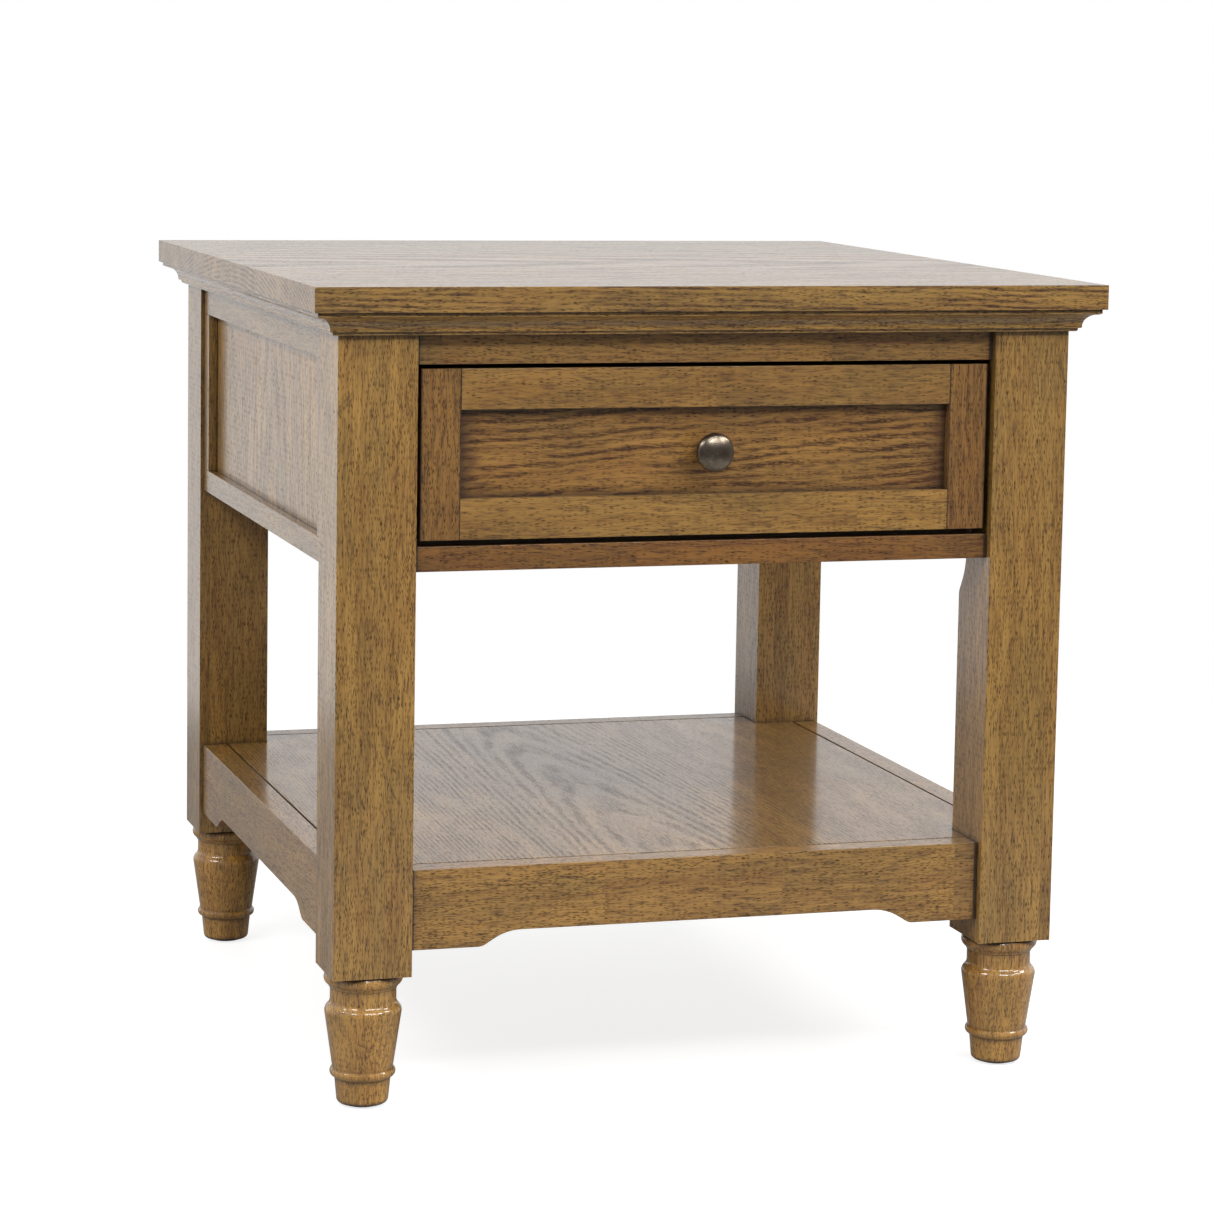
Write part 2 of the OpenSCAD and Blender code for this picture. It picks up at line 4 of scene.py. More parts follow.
import bpy
from mathutils import Matrix, Vector


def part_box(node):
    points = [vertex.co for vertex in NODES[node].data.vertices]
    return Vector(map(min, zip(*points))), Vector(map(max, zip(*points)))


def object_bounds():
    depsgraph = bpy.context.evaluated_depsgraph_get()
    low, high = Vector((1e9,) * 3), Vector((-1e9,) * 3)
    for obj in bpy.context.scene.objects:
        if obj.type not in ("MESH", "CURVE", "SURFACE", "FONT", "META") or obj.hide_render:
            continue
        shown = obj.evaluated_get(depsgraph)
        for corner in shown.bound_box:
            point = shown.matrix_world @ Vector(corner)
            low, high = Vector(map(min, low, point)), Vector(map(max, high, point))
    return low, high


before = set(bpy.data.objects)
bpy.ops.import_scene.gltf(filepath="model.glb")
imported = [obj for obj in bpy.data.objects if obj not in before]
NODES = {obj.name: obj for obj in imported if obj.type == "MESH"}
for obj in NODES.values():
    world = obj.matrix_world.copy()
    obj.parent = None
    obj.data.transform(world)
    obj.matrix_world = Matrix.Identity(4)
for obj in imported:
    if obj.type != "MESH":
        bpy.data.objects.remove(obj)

# The looks of a side table with a drawer: stained oak under satin lacquer, turned feet and a
# bronze knob. Lengths are metres in the scene, and millimetres in a piece's own material.

MM = 0.001
CAD_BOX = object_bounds()
LOW, HIGH = Vector(CAD_BOX[0]), Vector(CAD_BOX[1])
CENTRE = (LOW + HIGH) / 2

# ---- Camera: degrees, metres, and millimetres of lens and sensor ----

CAMERA_AZIMUTH = -16.894
CAMERA_ELEVATION = 8.992
CAMERA_DISTANCE = 3.00905
CAMERA_HEADING = -17.057
CAMERA_TILT = 6.923
CAMERA_ROLL = 0.971
CAMERA_LENS = 108.85
CAMERA_SENSOR = 36.0
CAMERA_SHIFT_Y = -0.088
CAMERA_REACH = 100.0

# ---- Studio ----

# The floor is a disc that fades away between two shares of its radius. Only the camera sees its glow.
FLOOR_RADIUS = 1.7
FLOOR_SIDES = 96
FLOOR_FADE = (0.7, 0.98)
FLOOR_GLOW = 0.8
FLOOR_GREYS = (0.37, 0.4)
FLOOR_ROUGHNESS = 0.7

# The studio's brightness in front and behind, the span between them on the way back, the span of
# heights over which it dims, and the share of it that is left overhead.
STUDIO_FRONT = 0.18
STUDIO_BACK = 0.84
STUDIO_TURN = (-0.7, 0.3)
STUDIO_RISE = (0.3, 0.8)
STUDIO_CEILING = 0.5

# Each soft box has its azimuth in degrees, its width in metres and its power in watts.
SOFT_BOX_ELEVATION = 38.0
SOFT_BOX_DISTANCE = 2.6
SOFT_BOX_HEIGHT = 0.36
SOFT_BOXES = (
    ("soft_box_left", -62.0, 1.9, 31.0),
    ("soft_box_middle", 7.0, 1.3, 22.0),
    ("soft_box_right", 60.0, 2.3, 37.0),
)

# ---- Edges: metres and degrees ----

WELD_DISTANCE = 0.005 * MM
FLAT_ANGLE = 0.2
BEVEL_ANGLE = 40
BEVEL_SEGMENTS = 2
SHARP_ANGLE = 50
FLAT_FACE_WEIGHT = 100

# ---- Pieces ----

# Grain directions of the wooden pieces: the axis along the grain, the axis across it in the face
# that shows, and the axis into that face.
ALONG_X_FACE_FRONT = "xzy"
ALONG_X_FACE_UP = "xyz"
ALONG_Y_FACE_SIDE = "yzx"
ALONG_Y_FACE_UP = "yxz"
ALONG_Z_FACE_FRONT = "zxy"
ALONG_Z_FACE_SIDE = "zyx"

# The pieces that come in fours, round the table and at its corners.
SIDES = (
    ("front", ALONG_X_FACE_FRONT),
    ("back", ALONG_X_FACE_FRONT),
    ("left", ALONG_Y_FACE_SIDE),
    ("right", ALONG_Y_FACE_SIDE),
)
CORNERS = ("front_left", "front_right", "back_left", "back_right")
LEGS_BESIDE = {
    "front": ("leg_front_left", "leg_front_right"),
    "back": ("leg_back_left", "leg_back_right"),
    "left": ("leg_front_left", "leg_back_left"),
    "right": ("leg_front_right", "leg_back_right"),
}
STEEL_PIECES = (
    "hanger_bolts", "washers", "hex_nuts", "top_screws", "drawer_front_screws", "knob_screw",
)

# ---- Marks ----

# A mark is noise: the size of its blobs, how much detail they have and how rough that is. Sizes are
# in millimetres, and in wood they are along the grain, across it and into the face.
WANDER = ((110.0, 30.0, 30.0), 2.0, 0.5)
RIPPLE = ((45.0, 12.0, 12.0), 4.0, 0.6)
UNEVEN = ((70.0, 14.0, 14.0), 3.0, 0.5)
BROAD = ((150.0, 16.0, 16.0), 3.0, 0.6)
STREAK = ((110.0, 3.0, 3.0), 4.0, 0.62)
HAIR = ((11.0, 1.1, 1.1), 3.0, 0.62)
CROWD = ((60.0, 8.0, 8.0), 2.0, 0.5)
BLOTCH = ((3.4, 1.8, 1.8), 3.0, 0.7)
CLOUD = ((16.0, 8.0, 8.0), 3.0, 0.5)
BRONZE_CLOUD = ((8.0, 8.0, 8.0), 4.0, 0.6)
BRONZE_SPECK = ((0.9, 0.9, 0.9), 2.0, 0.5)
ZINC_ROLLED = ((0.8, 60.0, 0.8), 3.0, 0.5)
ZINC_CLOUD = ((9.0, 9.0, 9.0), 3.0, 0.5)
NYLON_SCUFF = ((3.0, 3.0, 3.0), 4.0, 0.7)
# The floor's is in metres.
FLOOR_CLOUD = ((0.6, 0.6, 0.6), 2.0, 0.5)

# How far the fibres wander and the rings ripple, in millimetres.
WANDER_REACH = 11.0
RIPPLE_REACH = 7.0

# How far a piece's place in its tree is moved by chance, along and across, and how far a board's is
# moved along, in millimetres. The last number gives each piece boards of its own.
PIECE_SHIFT = 400
PIECE_SHIFT_ACROSS = 5
BOARD_SHIFT = 900.0
BOARD_SPREAD = 50

# A growth ring's dark line, as shares of the ring: where it comes and where it goes.
LINE_COMES = (0.0, 0.3)
LINE_GOES = (0.42, 0.85)

# Pores: the length and width of one in millimetres, and its reach as a share of that.
PORE_LENGTH = 4.6
PORE_WIDTH = 0.72
PORE_REACH = 0.47

# Darkening at a piece's ends: how far its cloud reaches and where it thins out, in millimetres, and
# how much of it there is.
SMOKE_REACH = 26.0
SMOKE_THINS = (14.0, 38.0)
SMOKE = 0.75

# Glaze and painted shade gather in hollows as deep as this, darkened by ambient occlusion, and glaze
# with painted gap shadow makes lines at joints. A line's edge is between two distances from the joint,
# in millimetres. A rim's line starts on the face, past the corner.
OCCLUSION_SHADE_REACH = 6 * MM
OCCLUSION_SHADE_SAMPLES = 2
GLAZE_AND_SHADE_IN_HOLLOWS = 0.95
GLAZE_AND_SHADOW_IN_LINES = 0.9
RIM_LINE = (0.3, 1.3)
RIM_CORNER = (0.02, 0.1)
BUTT_LINE = (2.4, 3.6)

# Where a mark starts to show and where it is full, in its noise, which runs from 0 to 1.
BROAD_SPAN = (0.34, 0.66)
CROWD_SPAN = (0.34, 0.66)
UNEVEN_SPAN = (0.36, 0.6)
RED_SPAN = (0.5, 0.76)
BLOTCH_SPAN = (0.56, 0.7)
DARK_HAIR_SPAN = (0.48, 0.72)
LIGHT_HAIR_SPAN = (0.32, 0.5)
LINE_HAIR_SPAN = (0.25, 0.7)
# The olive tone follows the fibres' wander to the side, in millimetres.
OLIVE_SPAN = (-1.5, 1.8)

# How much of a mark shows: most for a colour, least and most for what scales another mark.
OLIVE = 0.6
DARK_HAIR = 0.85
LIGHT_HAIR = 0.5
PORE_DEPTH = 0.78
UNEVEN_SHARE = (0.1, 1.0)
CROWD_SHARE = (0.25, 1.0)
LINE_HAIR_SHARE = (0.45, 1.2)
PORES_LEAST = 0.55
PORES_IN_LINES = 0.5
BOARD_TONE_LEAST = 0.88
BOARD_TONE_SPREAD = 0.24

# The wood's own surface, and the lacquer over it, whose shine the pores break.
WOOD_ROUGHNESS = 0.42
HAIR_ROUGHNESS = 0.2
HAIR_HEIGHT = 0.3
WOOD_SPECULAR = 0.5
WOOD_BUMP = 0.5
WOOD_BUMP_DEPTH = 0.06 * MM
LACQUER_IOR = 1.5
PORES_IN_LACQUER = 0.7

# A Mix node's sockets for colours.
MIX_FACTOR, MIX_A, MIX_B, MIX_RESULT = 0, 6, 7, 2


# ---- Node helpers ----


class Graph:
    """Adds nodes with short calls. An input is a number, a tuple or another node's output."""

    def __init__(self, tree):
        self.tree = tree
        tree.nodes.clear()

    def new(self, kind, inputs, **settings):
        node = self.tree.nodes.new("ShaderNode" + kind)
        for name, value in settings.items():
            setattr(node, name, value)
        for name, value in inputs.items():
            if isinstance(value, bpy.types.NodeSocket):
                self.tree.links.new(value, node.inputs[name])
            else:
                node.inputs[name].default_value = value
        return node

    def add(self, kind, inputs, output=0, **settings):
        return self.new(kind, inputs, **settings).outputs[output]

    def math(self, operation, a, b=0.0, clamp=False):
        return self.add("Math", {0: a, 1: b}, operation=operation, use_clamp=clamp)

    def plus(self, a, b):
        return self.math("ADD", a, b)

    def minus(self, a, b):
        return self.math("SUBTRACT", a, b)

    def times(self, a, b):
        return self.math("MULTIPLY", a, b)

    def over(self, a, b):
        return self.math("DIVIDE", a, b)

    def most(self, a, b):
        return self.math("MAXIMUM", a, b)

    def vector(self, operation, a, b):
        return self.add("VectorMath", {0: a, 1: b}, operation=operation)

    def around_zero(self, colour):
        """Random numbers from 0 to 1, moved to run from -0.5 to 0.5."""
        return self.vector("SUBTRACT", colour, (0.5, 0.5, 0.5))

    def split(self, vector):
        return self.new("SeparateXYZ", {0: vector}).outputs

    def join(self, x, y, z):
        return self.add("CombineXYZ", {0: x, 1: y, 2: z})

    def place(self):
        """Where a point is on its object, in metres."""
        return self.add("TexCoord", {}, output="Object")

    def noise(self, vector, mark, output=0):
        size, detail, roughness = mark
        scaled = self.vector("DIVIDE", vector, size)
        inputs = {"Vector": scaled, "Scale": 1.0, "Detail": detail, "Roughness": roughness}
        return self.add("TexNoise", inputs, output=output)

    def step(self, value, span, low=0.0, high=1.0):
        """`low` where value is under the span, `high` where it is over it, smooth between them."""
        start, end = span
        inputs = {"Value": value, "From Min": start, "From Max": end, "To Min": low, "To Max": high}
        return self.add("MapRange", inputs, interpolation_type="SMOOTHSTEP")

    def mix(self, factor, a, b, blend="MIX"):
        return self.add("Mix", {MIX_FACTOR: factor, MIX_A: a, MIX_B: b}, output=MIX_RESULT,
                        data_type="RGBA", blend_type=blend)

    def bump(self, height, strength, distance):
        return self.add("Bump", {"Strength": strength, "Distance": distance, "Height": height})

    def surface(self, shader, output="OutputMaterial"):
        self.new(output, {"Surface": shader})


def new_material(name):
    material = bpy.data.materials.new(name)
    material.use_nodes = True
    return material, Graph(material.node_tree)


def rgb(red, green, blue):
    """A screen's colour, of values from 0 to 255, as the linear values that shaders take."""
    linear = [
        c / 255 / 12.92 if c < 11 else ((c / 255 + 0.055) / 1.055) ** 2.4 for c in (red, green, blue)
    ]
    return (*linear, 1.0)


# ---- Wood ----

STAIN = {
    "light": rgb(180, 137, 66),
    "mid": rgb(150, 108, 46),
    "olive": rgb(136, 107, 50),
    "red": rgb(118, 65, 30),
    "deep": rgb(80, 50, 24),
    "pore": rgb(40, 25, 15),
    # The dark glaze colour also paints the shade in hollows and the shadow of gaps at joints.
    "glaze": rgb(26, 15, 8),
}
RAW = {
    "light": rgb(214, 182, 132),
    "mid": rgb(198, 162, 110),
    "olive": rgb(192, 162, 112),
    "red": rgb(176, 128, 88),
    "deep": rgb(160, 120, 76),
    "pore": rgb(112, 82, 52),
    # The dark glaze colour also paints the shade in hollows and the shadow of gaps at joints.
    "glaze": rgb(96, 66, 40),
}


def boards(g, along, across, stave, strip, spread):
    """Three chances and a tone, from 0 to 1, for each board that a piece is glued up from."""
    row = g.math("FLOOR", g.over(along, stave)) if stave else 0.0
    column = g.math("FLOOR", g.over(across, strip)) if strip else 0.0
    board = g.new("TexWhiteNoise", {"Vector": g.join(row, column, spread)}, noise_dimensions="3D")
    return board.outputs["Color"], board.outputs["Value"]


def ring_lines(g, fibre, heart, pith, taper, ring, calm):
    """The dark early wood of the growth rings round the tree's heart, from 0 to 1."""
    u, v, w = g.split(fibre)
    side = g.plus(v, heart)
    below = g.plus(w, pith)
    radius = g.math("SQRT", g.plus(g.times(side, side), g.times(below, below)))
    radius = g.plus(radius, g.times(u, taper))
    radius = g.plus(radius, g.times(g.noise(fibre, RIPPLE), RIPPLE_REACH * calm))
    turn = g.math("FRACT", g.over(radius, ring))
    return g.times(g.step(turn, LINE_COMES), g.step(turn, LINE_GOES, 1.0, 0.0))


def pore_dashes(g, fibre):
    """Short dashes along the fibres, and a chance from 0 to 1 for each, by which some are left out."""
    scaled = g.vector("DIVIDE", fibre, (PORE_LENGTH, PORE_WIDTH, PORE_WIDTH))
    cells = g.new("TexVoronoi", {"Vector": scaled, "Scale": 1.0})
    dash = g.step(cells.outputs["Distance"], (PORE_REACH * 0.5, PORE_REACH), 1.0, 0.0)
    return dash, g.split(cells.outputs["Color"])[0]


def smoky_ends(g, fibre, start, ends):
    """Dark clouds at both ends of a piece, from 0 to 1."""
    cloud = g.times(g.noise(fibre, CLOUD), SMOKE_REACH)
    first = g.plus(g.minus(start, ends[0]), cloud)
    last = g.plus(g.minus(ends[1], start), cloud)
    return g.most(g.step(first, SMOKE_THINS, SMOKE, 0.0), g.step(last, SMOKE_THINS, SMOKE, 0.0))


def glaze_lines(g, position, limits, line):
    """Dark lines at both limits of a position, from 0 to 1: painted shadow of the gaps at joints, with
    glaze.
    """
    near, far = line
    first = g.step(position, (limits[0] + near, limits[0] + far), GLAZE_AND_SHADOW_IN_LINES, 0.0)
    last = g.step(position, (limits[1] - far, limits[1] - near), 0.0, GLAZE_AND_SHADOW_IN_LINES)
    return g.most(first, last)


def between_corners(g, position, limits):
    """1 on the face between two limits of a position, and 0 on the sides of the piece there."""
    near, far = RIM_CORNER
    return g.times(g.step(position, (limits[0] + near, limits[0] + far)),
                   g.step(position, (limits[1] - far, limits[1] - near), 1.0, 0.0))


def wood(
    name,
    order,
    seed,
    colours=STAIN,
    tone=1.0,
    warmth=0.0,
    stave=0.0,
    strip=0.0,
    ring=4.5,
    figure=0.5,
    pith=60.0,
    pith_side=30.0,
    taper=0.03,
    calm=1.0,
    pores=0.5,
    flecks=0.0,
    red=0.35,
    gloss=0.17,
    relief=0.3,
    texture=1.0,
    crease=0.0,
    ends=None,
    rims=None,
    butts=None,
):
    """Stained wood in one piece's own grain.

    order: the axes along the grain, across it and into the face.
    tone, warmth: how light it is, and from 0 to 1 how much green and blue are taken out.
    stave, strip: length and width, in mm, of the boards that the piece is glued up from, or 0.
    ring, figure: distance between growth rings, in mm, and how dark they are.
    pith, pith_side: depth of the tree's heart below the face and its distance to the side, in mm.
    taper: bends the rings into arches along the grain.
    calm: how far fibres and rings stray from their lines.
    pores, flecks, red: how many dark pores, how dark the blotches are, how red the streaks are.
    gloss: the lacquer's roughness.
    relief, texture: how much dark rings, and pores and fibres, break its shine.
    crease: from 0 to 0.9, makes the glaze and painted shade from ambient occlusion gather more in
    hollows.
    ends: where the piece starts and stops along the grain, in mm, where it is darkened in smoky clouds.
    rims: its two long edges, in mm, along which a dark line paints the shadow of the gap there, with
    glaze.
    butts: the places along the grain, in mm, where it meets other pieces, with the same line.
    """
    material, g = new_material(name)
    dice = random.Random(seed)
    place = dict(zip("xyz", g.split(g.place())))
    start, edge, depth = (g.over(place[axis], MM) for axis in order)
    along = g.plus(start, dice.uniform(-PIECE_SHIFT, PIECE_SHIFT))
    across = g.plus(edge, dice.uniform(-PIECE_SHIFT_ACROSS, PIECE_SHIFT_ACROSS))

    # Boards: each has its own tone and its own place in the tree.
    chance, board_tone = boards(g, along, across, stave, strip, dice.uniform(0, BOARD_SPREAD))
    shift = g.vector("MULTIPLY", g.around_zero(chance), (BOARD_SHIFT, 2 * pith_side, pith))
    fibre = g.vector("ADD", g.join(along, across, depth), shift)

    # The fibres wander a little, which bends all that follows them.
    reach = WANDER_REACH * calm
    wander = g.around_zero(g.noise(fibre, WANDER, output="Color"))
    wander = g.vector("MULTIPLY", wander, (0.0, reach, reach))
    fibre = g.vector("ADD", fibre, wander)

    # Growth rings, streaks of colour along the fibres, fine fibres, and pores.
    heart = dice.uniform(-pith_side, pith_side)
    line = ring_lines(g, fibre, heart, pith, taper, ring, calm)
    uneven = g.step(g.noise(fibre, UNEVEN), UNEVEN_SPAN, *UNEVEN_SHARE)
    broad = g.noise(fibre, BROAD)
    streak = g.noise(fibre, STREAK)
    hair = g.noise(fibre, HAIR)
    dash, chosen = pore_dashes(g, fibre)
    crowd = g.step(g.noise(fibre, CROWD), CROWD_SPAN, *CROWD_SHARE)
    crowd = g.times(g.times(crowd, g.plus(g.split(chance)[0], PORES_LEAST)), pores)
    crowd = g.plus(crowd, g.times(line, figure * PORES_IN_LINES))
    pore = g.times(dash, g.math("GREATER_THAN", crowd, chosen))
    line = g.times(line, g.times(uneven, g.step(hair, LINE_HAIR_SPAN, *LINE_HAIR_SHARE)))

    # Colour, from the broad bands of the wood up to the marks on it.
    olive = g.step(g.split(wander)[1], [bend * calm for bend in OLIVE_SPAN], 0.0, OLIVE)
    colour = g.mix(g.step(broad, BROAD_SPAN), colours["mid"], colours["light"])
    colour = g.mix(olive, colour, colours["olive"])
    redness = g.math("MULTIPLY", g.step(streak, RED_SPAN), red, clamp=True)
    colour = g.mix(redness, colour, colours["red"])
    colour = g.mix(g.math("MULTIPLY", line, figure, clamp=True), colour, colours["deep"])
    colour = g.mix(g.step(hair, DARK_HAIR_SPAN, 0.0, DARK_HAIR), colour, colours["deep"])
    colour = g.mix(g.step(hair, LIGHT_HAIR_SPAN, LIGHT_HAIR, 0.0), colour, colours["light"])
    colour = g.mix(g.times(pore, PORE_DEPTH), colour, colours["pore"])
    if flecks:
        blotch = g.step(g.noise(fibre, BLOTCH), BLOTCH_SPAN)
        colour = g.mix(g.times(blotch, flecks), colour, colours["deep"])
    if ends:
        colour = g.mix(smoky_ends(g, fibre, start, ends), colour, colours["deep"])
    shade = g.times(g.plus(BOARD_TONE_LEAST, g.times(board_tone, BOARD_TONE_SPREAD)), tone)
    green, blue = (g.times(shade, 1.0 - share * warmth) for share in (0.5, 1.0))
    colour = g.mix(1.0, colour, g.join(shade, green, blue), blend="MULTIPLY")

    # Glaze and painted shade in hollows, from ambient occlusion, and glaze with painted gap shadow in
    # lines at joints.
    # Ambient occlusion darkens the colour in hollows: painted shade, with glaze.
    occlusion_shade = g.add("AmbientOcclusion", {"Distance": OCCLUSION_SHADE_REACH}, output="AO", samples=OCCLUSION_SHADE_SAMPLES)
    glaze = g.step(occlusion_shade, (crease, 1.0), GLAZE_AND_SHADE_IN_HOLLOWS, 0.0)
    # Dark lines at the rims and butt joints paint the shadow of the gaps there, with glaze.
    if rims:
        on_face = between_corners(g, edge, rims)
        glaze = g.most(glaze, g.times(glaze_lines(g, edge, rims, RIM_LINE), on_face))
    if butts:
        glaze = g.most(glaze, glaze_lines(g, start, butts, BUTT_LINE))
    colour = g.mix(glaze, colour, colours["glaze"])

    # Surface: the lacquer follows the pores and fibres a little.
    height = g.minus(g.times(hair, HAIR_HEIGHT), pore)
    bump = g.bump(height, WOOD_BUMP * texture, WOOD_BUMP_DEPTH)
    open_grain = g.most(g.times(pore, PORES_IN_LACQUER * texture), g.times(line, figure * relief))
    closed = g.minus(1.0, open_grain)
    shader = g.add(
        "BsdfPrincipled",
        {
            "Base Color": colour,
            "Roughness": g.plus(WOOD_ROUGHNESS, g.times(hair, HAIR_ROUGHNESS)),
            "Normal": bump,
            "Specular IOR Level": g.times(closed, WOOD_SPECULAR),
            "Coat Weight": closed,
            "Coat Roughness": gloss,
            "Coat IOR": LACQUER_IOR,
            "Coat Normal": bump,
        },
    )
    g.surface(shader)
    return material


# ---- Metal and plastic ----


def metal(g, colour, roughness, bump):
    inputs = {"Base Color": colour, "Metallic": 1.0, "Roughness": roughness, "Normal": bump}
    g.surface(g.add("BsdfPrincipled", inputs))


def antique_bronze(name):
    """Dark bronze, rubbed brighter where hands touch it."""
    material, g = new_material(name)
    place = g.vector("DIVIDE", g.place(), (MM, MM, MM))
    cloud = g.noise(place, BRONZE_CLOUD)
    speck = g.noise(place, BRONZE_SPECK)
    worn = g.step(cloud, (0.4, 0.7))
    colour = g.mix(worn, rgb(106, 96, 84), rgb(136, 124, 108))
    colour = g.mix(g.step(speck, (0.58, 0.75), 0.0, 0.3), colour, rgb(76, 66, 54))
    metal(g, colour, g.minus(0.31, g.times(worn, 0.06)), g.bump(g.plus(cloud, speck), 0.2, 0.04 * MM))
    return material


def zinc_steel(name):
    """Bright zinc on rolled steel, with faint lines along the rolling."""
    material, g = new_material(name)
    place = g.vector("DIVIDE", g.place(), (MM, MM, MM))
    rolled = g.noise(place, ZINC_ROLLED)
    cloud = g.step(g.noise(place, ZINC_CLOUD), (0.3, 0.7))
    colour = g.mix(cloud, rgb(168, 170, 174), rgb(202, 203, 204))
    metal(g, colour, g.plus(0.24, g.times(rolled, 0.2)), g.bump(rolled, 0.2, 0.03 * MM))
    return material


def nylon(name):
    """Pale nylon, scuffed by the floor."""
    material, g = new_material(name)
    place = g.vector("DIVIDE", g.place(), (MM, MM, MM))
    scuff = g.noise(place, NYLON_SCUFF)
    scuffed = g.step(scuff, (0.45, 0.8), 0.0, 0.6)
    colour = g.mix(scuffed, rgb(214, 210, 200), rgb(160, 154, 142))
    bump = g.bump(scuff, 0.3, 0.05 * MM)
    g.surface(g.add("BsdfPrincipled", {"Base Color": colour, "Roughness": 0.45, "Normal": bump}))
    return material


# ---- Edges ----


def ease_edges(piece, width):
    """Rounds a wooden CAD node's edges slightly, as sanding does, with modifiers only."""
    weld = piece.modifiers.new("weld", "WELD")
    weld.merge_threshold = WELD_DISTANCE
    flat = piece.modifiers.new("flat", "DECIMATE")
    flat.decimate_type = "DISSOLVE"
    flat.angle_limit = math.radians(FLAT_ANGLE)
    bevel = piece.modifiers.new("bevel", "BEVEL")
    bevel.width = width
    bevel.segments = BEVEL_SEGMENTS
    bevel.limit_method = "ANGLE"
    bevel.angle_limit = math.radians(BEVEL_ANGLE)
    bevel.harden_normals = False
    smooth = piece.modifiers.new("smooth", "NODES")
    smooth.node_group = smooth_group()
    weighted = piece.modifiers.new("weighted", "WEIGHTED_NORMAL")
    weighted.weight = FLAT_FACE_WEIGHT
    weighted.keep_sharp = True


def smooth_group():
    """Geometry nodes that drop imported normals and mark the sharper edges sharp."""
    group = bpy.data.node_groups.get("smooth_by_angle")
    if group:
        return group
    group = bpy.data.node_groups.new("smooth_by_angle", "GeometryNodeTree")
    for in_out in ("INPUT", "OUTPUT"):
        group.interface.new_socket("Geometry", in_out=in_out, socket_type="NodeSocketGeometry")
    nodes, links = group.nodes, group.links
    start = nodes.new("NodeGroupInput")
    end = nodes.new("NodeGroupOutput")
    angle = nodes.new("GeometryNodeInputMeshEdgeAngle")
    sharp = nodes.new("FunctionNodeCompare")
    sharp.data_type = "FLOAT"
    sharp.operation = "GREATER_THAN"
    sharp.inputs[1].default_value = math.radians(SHARP_ANGLE)
    normal = nodes.new("GeometryNodeSetMeshNormal")
    normal.mode = "SHARPNESS"
    links.new(start.outputs[0], normal.inputs["Mesh"])
    links.new(angle.outputs[0], sharp.inputs[0])
    links.new(sharp.outputs[0], normal.inputs["Edge Sharpness"])
    links.new(normal.outputs[0], end.inputs[0])
    return group


# ---- The pieces ----


def dress(node, material):
    piece = NODES[node]
    piece.data.materials.clear()
    piece.data.materials.append(material)


def wooden(node, order, seed, ease=0.5 * MM, smoky=False, lined=False, between=None, **look):
    """Dresses a CAD node in wood and eases its edges.

    smoky gives it dark ends and lined a dark line along both edges, which paints the shadow of the gaps
    there with glaze. between are the two nodes that it butts against.
    """
    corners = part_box(node)
    along, across = ("xyz".index(axis) for axis in order[:2])
    if between:
        first, second = (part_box(neighbour) for neighbour in between)
        look["butts"] = (first[1][along] / MM, second[0][along] / MM)
    if smoky:
        look["ends"] = tuple(corner[along] / MM for corner in corners)
    if lined:
        look["rims"] = tuple(corner[across] / MM for corner in corners)
    dress(node, wood(node, order, seed, **look))
    if ease:
        ease_edges(NODES[node], ease)


def dress_top():
    wooden("table_top", ALONG_X_FACE_UP, 11, ease=1.0 * MM, tone=0.86, strip=104.0, ring=4.0,
           figure=0.95, pith=32.0, taper=0.02, calm=0.3, pores=0.3, relief=0.2)
    for number, (side, order) in enumerate(SIDES):
        wooden(f"cornice_{side}", order, 12 + number, ease=0.4 * MM, tone=1.15, stave=330.0,
               figure=0.6, ring=3.5, crease=0.4)


def dress_legs():
    for number, corner in enumerate(CORNERS):
        wooden(f"leg_{corner}", ALONG_Z_FACE_FRONT, 21 + number, ease=0.9 * MM, strip=27.0,
               figure=0.3, ring=3.6, pores=0.6, pith=80.0, taper=0.02, red=0.25)
        wooden(f"foot_{corner}", ALONG_Z_FACE_FRONT, 31 + number, ease=0, tone=1.48, warmth=0.08,
               strip=24.0, figure=0.35, pores=0.5, flecks=0.85, gloss=0.06, relief=0.0,
               texture=0.15, red=0.1, crease=0.84)


def dress_case():
    for part, tone, warmth in (("top", 0.84, 0.12), ("bottom", 0.64, 0.45)):
        wooden(f"front_{part}_rail", ALONG_X_FACE_FRONT, 41, between=LEGS_BESIDE["front"],
               tone=tone, warmth=warmth, stave=150.0, figure=0.35, pores=0.4, red=0.9)
        wooden(f"back_{part}_rail", ALONG_X_FACE_FRONT, 42, between=LEGS_BESIDE["back"],
               tone=0.9, stave=150.0, figure=0.35)
        for number, side in enumerate(("left", "right")):
            wooden(f"side_{part}_rail_{side}", ALONG_Y_FACE_SIDE, 43 + number, tone=0.84,
                   stave=170.0, figure=0.3)
    wooden("back_stiles", ALONG_Z_FACE_FRONT, 45, figure=0.3)
    wooden("back_panel", ALONG_Z_FACE_FRONT, 46, ease=0, strip=120.0, figure=0.6, taper=0.06)
    wooden("side_stiles", ALONG_Z_FACE_SIDE, 47, tone=0.88, figure=0.3)
    for number, side in enumerate(("left", "right")):
        wooden(f"side_panel_{side}", ALONG_Z_FACE_SIDE, 49 + number, ease=0, strip=120.0,
               figure=0.45, taper=0.05, calm=0.6, red=0.5)


def dress_shelf():
    for number, (side, order) in enumerate(SIDES):
        wooden(f"apron_{side}", order, 51 + number, between=LEGS_BESIDE[side], tone=1.0,
               warmth=0.08, stave=140.0, figure=0.3, pores=0.6)
    wooden("shelf_panel", ALONG_Y_FACE_UP, 56, ease=0.6 * MM, figure=0.75, ring=2.4, pith=9.0,
           pith_side=30.0, taper=0.02, calm=0.2, pores=0.2, gloss=0.14, relief=0.4)
    wooden("shelf_cleats", ALONG_X_FACE_UP, 57, colours=RAW)


